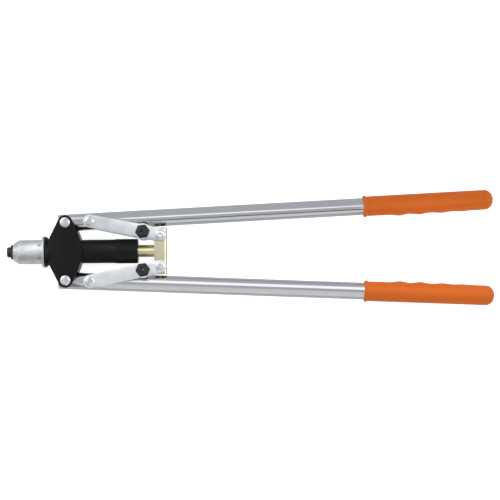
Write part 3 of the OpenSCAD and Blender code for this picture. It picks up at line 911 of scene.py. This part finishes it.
# %% Nosepiece sizes
NOSE_SIDES = 60
BORE_SIDES = 40
TIP_RADIUS = 5.8
TIP_LENGTH = 4.2
HEX_FLATS = 14.0
HEX_END = TIP_LENGTH + 3.1
SHANK_END = HEX_END + 9.5
NOSE_LENGTH = SHANK_END + 2.5
THREAD_RADIUS = 5.0
THREAD_DEPTH = 0.45
THREAD_START = HEX_END + 1.3
RIDGES = 8
PITCH = 1.0
TIP_ROUNDING = 0.9
CONE_END_RADIUS = 3.2
HEX_TRIM = 0.45
hex_radius = HEX_FLATS / 2 / math.cos(math.radians(30))
thread = []
for ridge in range(RIDGES):
    root = THREAD_START + ridge * PITCH
    thread += [(root, THREAD_RADIUS - THREAD_DEPTH), (root + 0.4 * PITCH, THREAD_RADIUS),
               (root + 0.6 * PITCH, THREAD_RADIUS)]
nose_profile = ([(0, 0)]
                + arc((TIP_ROUNDING, TIP_RADIUS - TIP_ROUNDING), TIP_ROUNDING, 180, 90, 6)
                + [(TIP_LENGTH - 0.6, TIP_RADIUS), (TIP_LENGTH - 0.15, TIP_RADIUS + 0.15),
                   (TIP_LENGTH + 0.1, TIP_RADIUS + 0.5), (HEX_END - 0.2, TIP_RADIUS + 0.5),
                   (HEX_END - 0.2, THREAD_RADIUS - THREAD_DEPTH)] + thread
                + [(SHANK_END, THREAD_RADIUS - THREAD_DEPTH), (NOSE_LENGTH, CONE_END_RADIUS),
                   (NOSE_LENGTH, 0)])
print("points in the nosepiece's profile:", len(nose_profile))


# %% Model a nosepiece
def model_nosepiece(name, bore_diameter):
    """A nosepiece along X with the end of its tip at the origin."""
    nose = lathe(name, nose_profile, NOSE_SIDES)
    hexagon = primitive("cylinder", "hexagon", vertices=6, radius=hex_radius * MM,
                        depth=(HEX_END - TIP_LENGTH) * MM)
    settle(hexagon, move=((TIP_LENGTH + HEX_END) / 2, 0, 0), turn=(0, 90, 0))
    trim = lathe("trim", [(TIP_LENGTH - 0.1, 0), (TIP_LENGTH - 0.1, HEX_FLATS / 2 + 0.4),
                          (TIP_LENGTH + HEX_TRIM, hex_radius + 0.1),
                          (HEX_END - HEX_TRIM, hex_radius + 0.1),
                          (HEX_END + 0.1, HEX_FLATS / 2 + 0.4), (HEX_END + 0.1, 0)])
    combine(hexagon, trim, "INTERSECT")
    combine(nose, hexagon, "UNION")
    hole = lathe("hole", [(-0.5, 0), (-0.5, bore_diameter / 2 + 0.8), (0.3, bore_diameter / 2),
                          (NOSE_LENGTH + 1, bore_diameter / 2), (NOSE_LENGTH + 1, 0)],
                 BORE_SIDES)
    combine(nose, hole, "DIFFERENCE")
    nose.data.materials.append(black_oxide)
    return smooth(nose, 30)


# %% Fitted nosepiece and the two spare ones
HEX_TURN = 7.5
FITTED_BORE = 4.2
SPARE_BORES = {"upper": 2.9, "lower": 3.5}
turn_of_link = math.radians(LINK_ANGLE)
eye_x = FRONT_PIN.x + Vector(EYE).dot((math.cos(turn_of_link), -math.sin(turn_of_link)))
eye_y = FRONT_PIN.y + Vector(EYE).dot((math.sin(turn_of_link), math.cos(turn_of_link)))
fitted = model_nosepiece("fitted_nosepiece", FITTED_BORE)
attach(fitted, "frame")
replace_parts(fitted, "nosepiece")
describe(fitted)
for half, bore_diameter in SPARE_BORES.items():
    spare = model_nosepiece(f"{half}_spare_nose", bore_diameter)
    settle(spare, turn=(90, 0, 0))
    settle(spare, turn=(0, 90, 0))
    settle(spare, turn=(0, 0, HEX_TURN))
    settle(spare, move=(eye_x, HALVES[half] * eye_y, PLATE_TOP + HEX_END))
    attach(spare, f"{half}_link")
    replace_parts(spare, f"{half}_spare_nosepiece")
    describe(spare)
print("eye of the upper link at", round(eye_x, 2), round(eye_y, 2), "mm")

# %% [markdown]
# ## The spring behind the jaws
# A compression spring holds the pusher against the three jaws, and the nosepiece presses it
# together by 2.5 mm. The CAD node is rigid and would be pushed into the floor of the case. The
# spring is made anew: the Screw modifier carries a circle along a helix. The spring rides with
# the jaws.

# %% Model the spring
WIRE_SIDES = 12
WIRE_RADIUS = 0.7
COIL_RADIUS = 5.95
COIL_TURNS = 5.5
STEPS_PER_TURN = 24
SPRING_FRONT = 48.6
SPRING_REAR = 61.9
spring_length = SPRING_REAR - SPRING_FRONT
spring_steps = round(COIL_TURNS * STEPS_PER_TURN)
spring = primitive("circle", "pusher_spring", vertices=WIRE_SIDES, radius=WIRE_RADIUS * MM)
settle(spring, move=(SPRING_FRONT + WIRE_RADIUS, COIL_RADIUS, 0))
apply_modifier(spring, "SCREW", axis="X", angle=COIL_TURNS * 2 * math.pi,
               screw_offset=(spring_length - 2 * WIRE_RADIUS) * MM, steps=spring_steps,
               render_steps=spring_steps)
with editing(spring):
    pick(spring, "EDGE", lambda e: e.is_boundary)
    bpy.ops.mesh.fill_holes(sides=0)
clean(spring)
smooth(spring, 40)
spring.data.materials.append(spring_steel)
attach(spring, "jaws")
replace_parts(spring, "jaw_spring")
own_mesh(spring)
describe(spring)
coil_ends = [v.co.x / MM for v in spring.data.vertices]
print("spring from", round(min(coil_ends), 2), "to", round(max(coil_ends), 2), "mm")

# %% [markdown]
# ## Finishes on the CAD pieces
# The turned and drilled pieces are exact already, so their nodes stay and only get a finish. A
# finish is assigned to the node's material slots, which changes nothing in its mesh.

# %% Assign the finishes
finish_of = {"head_sleeve": turned_aluminium, "pull_rod": rod_gold, "jaw_case": tool_steel,
             "jaw_case_nut": tool_steel, "jaw_a": tool_steel, "jaw_b": tool_steel,
             "jaw_c": tool_steel, "jaw_pusher": brass}
for half in HALVES:
    finish_of[f"{half}_tube"] = chromes[half]
    for rivet in ("pivot_rivet", "link_pin", "crosshead_rivet"):
        finish_of[f"{half}_{rivet}"] = rivet_steel
    for bush in ("pivot_bush", "link_bush"):
        finish_of[f"{half}_{bush}"] = bush_steel
for name, material in finish_of.items():
    slots = nodes[name].data.materials
    if not slots:
        slots.append(None)
    for index in range(len(slots)):
        slots[index] = material
dressed = set(finish_of) | {n for piece in bpy.data.objects for n in piece.get("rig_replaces", [])}
print("nodes without a finish or a stand-in:", sorted(set(nodes) - dressed))

# %% [markdown]
# ## Floor, light and camera
# The tool lies on a white table and is seen from almost straight above. Chrome shows its
# surroundings, so the light is set by what the tubes mirror. A tall soft box stands beside the
# upper tube and draws the bright line along both tubes, a pale board slopes down on the other
# side for the broad band, and a black strip at its inner edge gives the thin dark line between
# them. The nose has a card, a dark board and two boxes of its own, a small box hangs over the
# gap between the grips, and a large one lights them from beyond their ends. The grey room does
# the rest. The camera sees lamps and boards only as reflections.

# %% Floor
FLOOR_SIZE = 8.0
FLOOR_MIDDLE = 0.27
FLOOR_DROP = 0.4
floor_height = cad_box[0].z - FLOOR_DROP * MM
floor = primitive("plane", "floor", size=FLOOR_SIZE)
with editing(floor):
    bpy.ops.mesh.select_all(action="SELECT")
    bpy.ops.transform.translate(value=(FLOOR_MIDDLE, 0, floor_height))
white = Finish("white_table", Roughness=0.9, Specular_IOR_Level=0.1,
               Emission_Color=grey(1.0), Emission_Strength=0.8)
cloud = white.noise(white.place(), 0.6)
floor.data.materials.append(white.coat(colour=white.blend(cloud, grey(0.86), grey(0.9))))
floor.visible_glossy = False
print("floor at", round(floor_height / MM, 2), "mm")


# %% Soft boxes
soft_boxes = {  # place, aim and size in metres, and glow
    "tall_box": ((0.4875, 0.0654, 0.2486), (0.4875, -0.9336, 0.2032), (0.745, 0.293), 0.94),
    "nose_card": ((-0.0224, 0.10, 0.275), (-0.9674, 0.10, -0.051), (0.32, 0.476), 0.30),
    "nose_side_box": ((-0.12, 0.42, 0.25), (0.03, 0.0, 0.0), (0.30, 0.35), 0.56),
    "nose_end_box": ((-0.55, 0.42, 0.65), (0.05, 0.0, 0.0), (0.7, 0.7), 2.2),
    "grip_gap_box": ((0.470, 0.012, 0.11), (0.470, 0.012, 0.0), (0.13, 0.05), 1.6),
    "grip_end_box": ((1.50, 0.00, 0.90), (0.35, 0.0, 0.0), (0.9, 0.9), 2.4),
}


def soft_box(name, place, aim, size, glow):
    """An area lamp that faces a point. Glow is how bright its face looks."""
    data = bpy.data.lights.new(name, "AREA")
    data.shape, data.size, data.size_y = "RECTANGLE", *size
    data.energy = glow * math.pi * size[0] * size[1]
    light = bpy.data.objects.new(name, data)
    bpy.context.scene.collection.objects.link(light)
    light.location = place
    light.rotation_euler = (Vector(aim) - Vector(place)).to_track_quat("-Z", "Y").to_euler()
    light.visible_camera = False


for name, settings in soft_boxes.items():
    soft_box(name, *settings)
print("soft boxes:", len(soft_boxes))

# %% Boards
boards = {  # near and far (y, z) edges and both ends in x, in metres, and the board's grey
    "white_board": ((-0.075, 0.121), (-0.45, 0.0), (0.06, 0.92), 0.61),
    "black_edge": ((-0.057, 0.110), (-0.068, 0.166), (0.06, 0.92), 0.02),
    "nose_board": ((-0.150, 0.260), (-0.299, 0.021), (-0.30, 0.05), 0.20),
}


def board(name, near, far, ends, level):
    """A board along the tool from one (y, z) edge to another, which only reflections see."""
    corners = [(x, *edge) for edge in (near, far) for x in ends]
    made = primitive("plane", name, size=1.0)
    for vertex, corner in zip(made.data.vertices, corners):
        vertex.co = corner
    card = Finish(name, Base_Color=grey(level), Roughness=1.0, Specular_IOR_Level=0.0)
    made.data.materials.append(card.material)
    made.visible_camera = False


for name, settings in boards.items():
    board(name, *settings)
print("boards:", len(boards))

# %% The room
ROOM_COLOUR = (0.60, 0.61, 0.63, 1)
world = bpy.data.worlds.new("room")
bpy.context.scene.world = world
world.use_nodes = True
world.node_tree.nodes["Background"].inputs["Color"].default_value = ROOM_COLOUR
print("room colour:", ROOM_COLOUR[:3])

# %% Camera
SENSOR_WIDTH = 36.0
CAMERA_PLACE = Vector((0.258, -0.060, 1.83))
CAMERA_AIM = Vector((0.269, -0.0001, 0.0))
LENS = 118.8
ROLL = 0.6
camera_data = bpy.data.cameras.new("camera")
camera_data.lens = LENS
camera_data.sensor_width = SENSOR_WIDTH
camera = bpy.data.objects.new("camera", camera_data)
bpy.context.scene.collection.objects.link(camera)
camera.location = CAMERA_PLACE
ahead = (CAMERA_AIM - CAMERA_PLACE).normalized()
right = ahead.cross((0, 1, 0)).normalized()
axes = Matrix((right, right.cross(ahead), -ahead)).transposed()
camera.rotation_euler = (axes @ Matrix.Rotation(math.radians(-ROLL), 3, "Z")).to_euler()
bpy.context.scene.camera = camera
bpy.context.scene.view_settings.view_transform = "Standard"
print("camera", round((CAMERA_AIM - CAMERA_PLACE).length, 3), "m away")
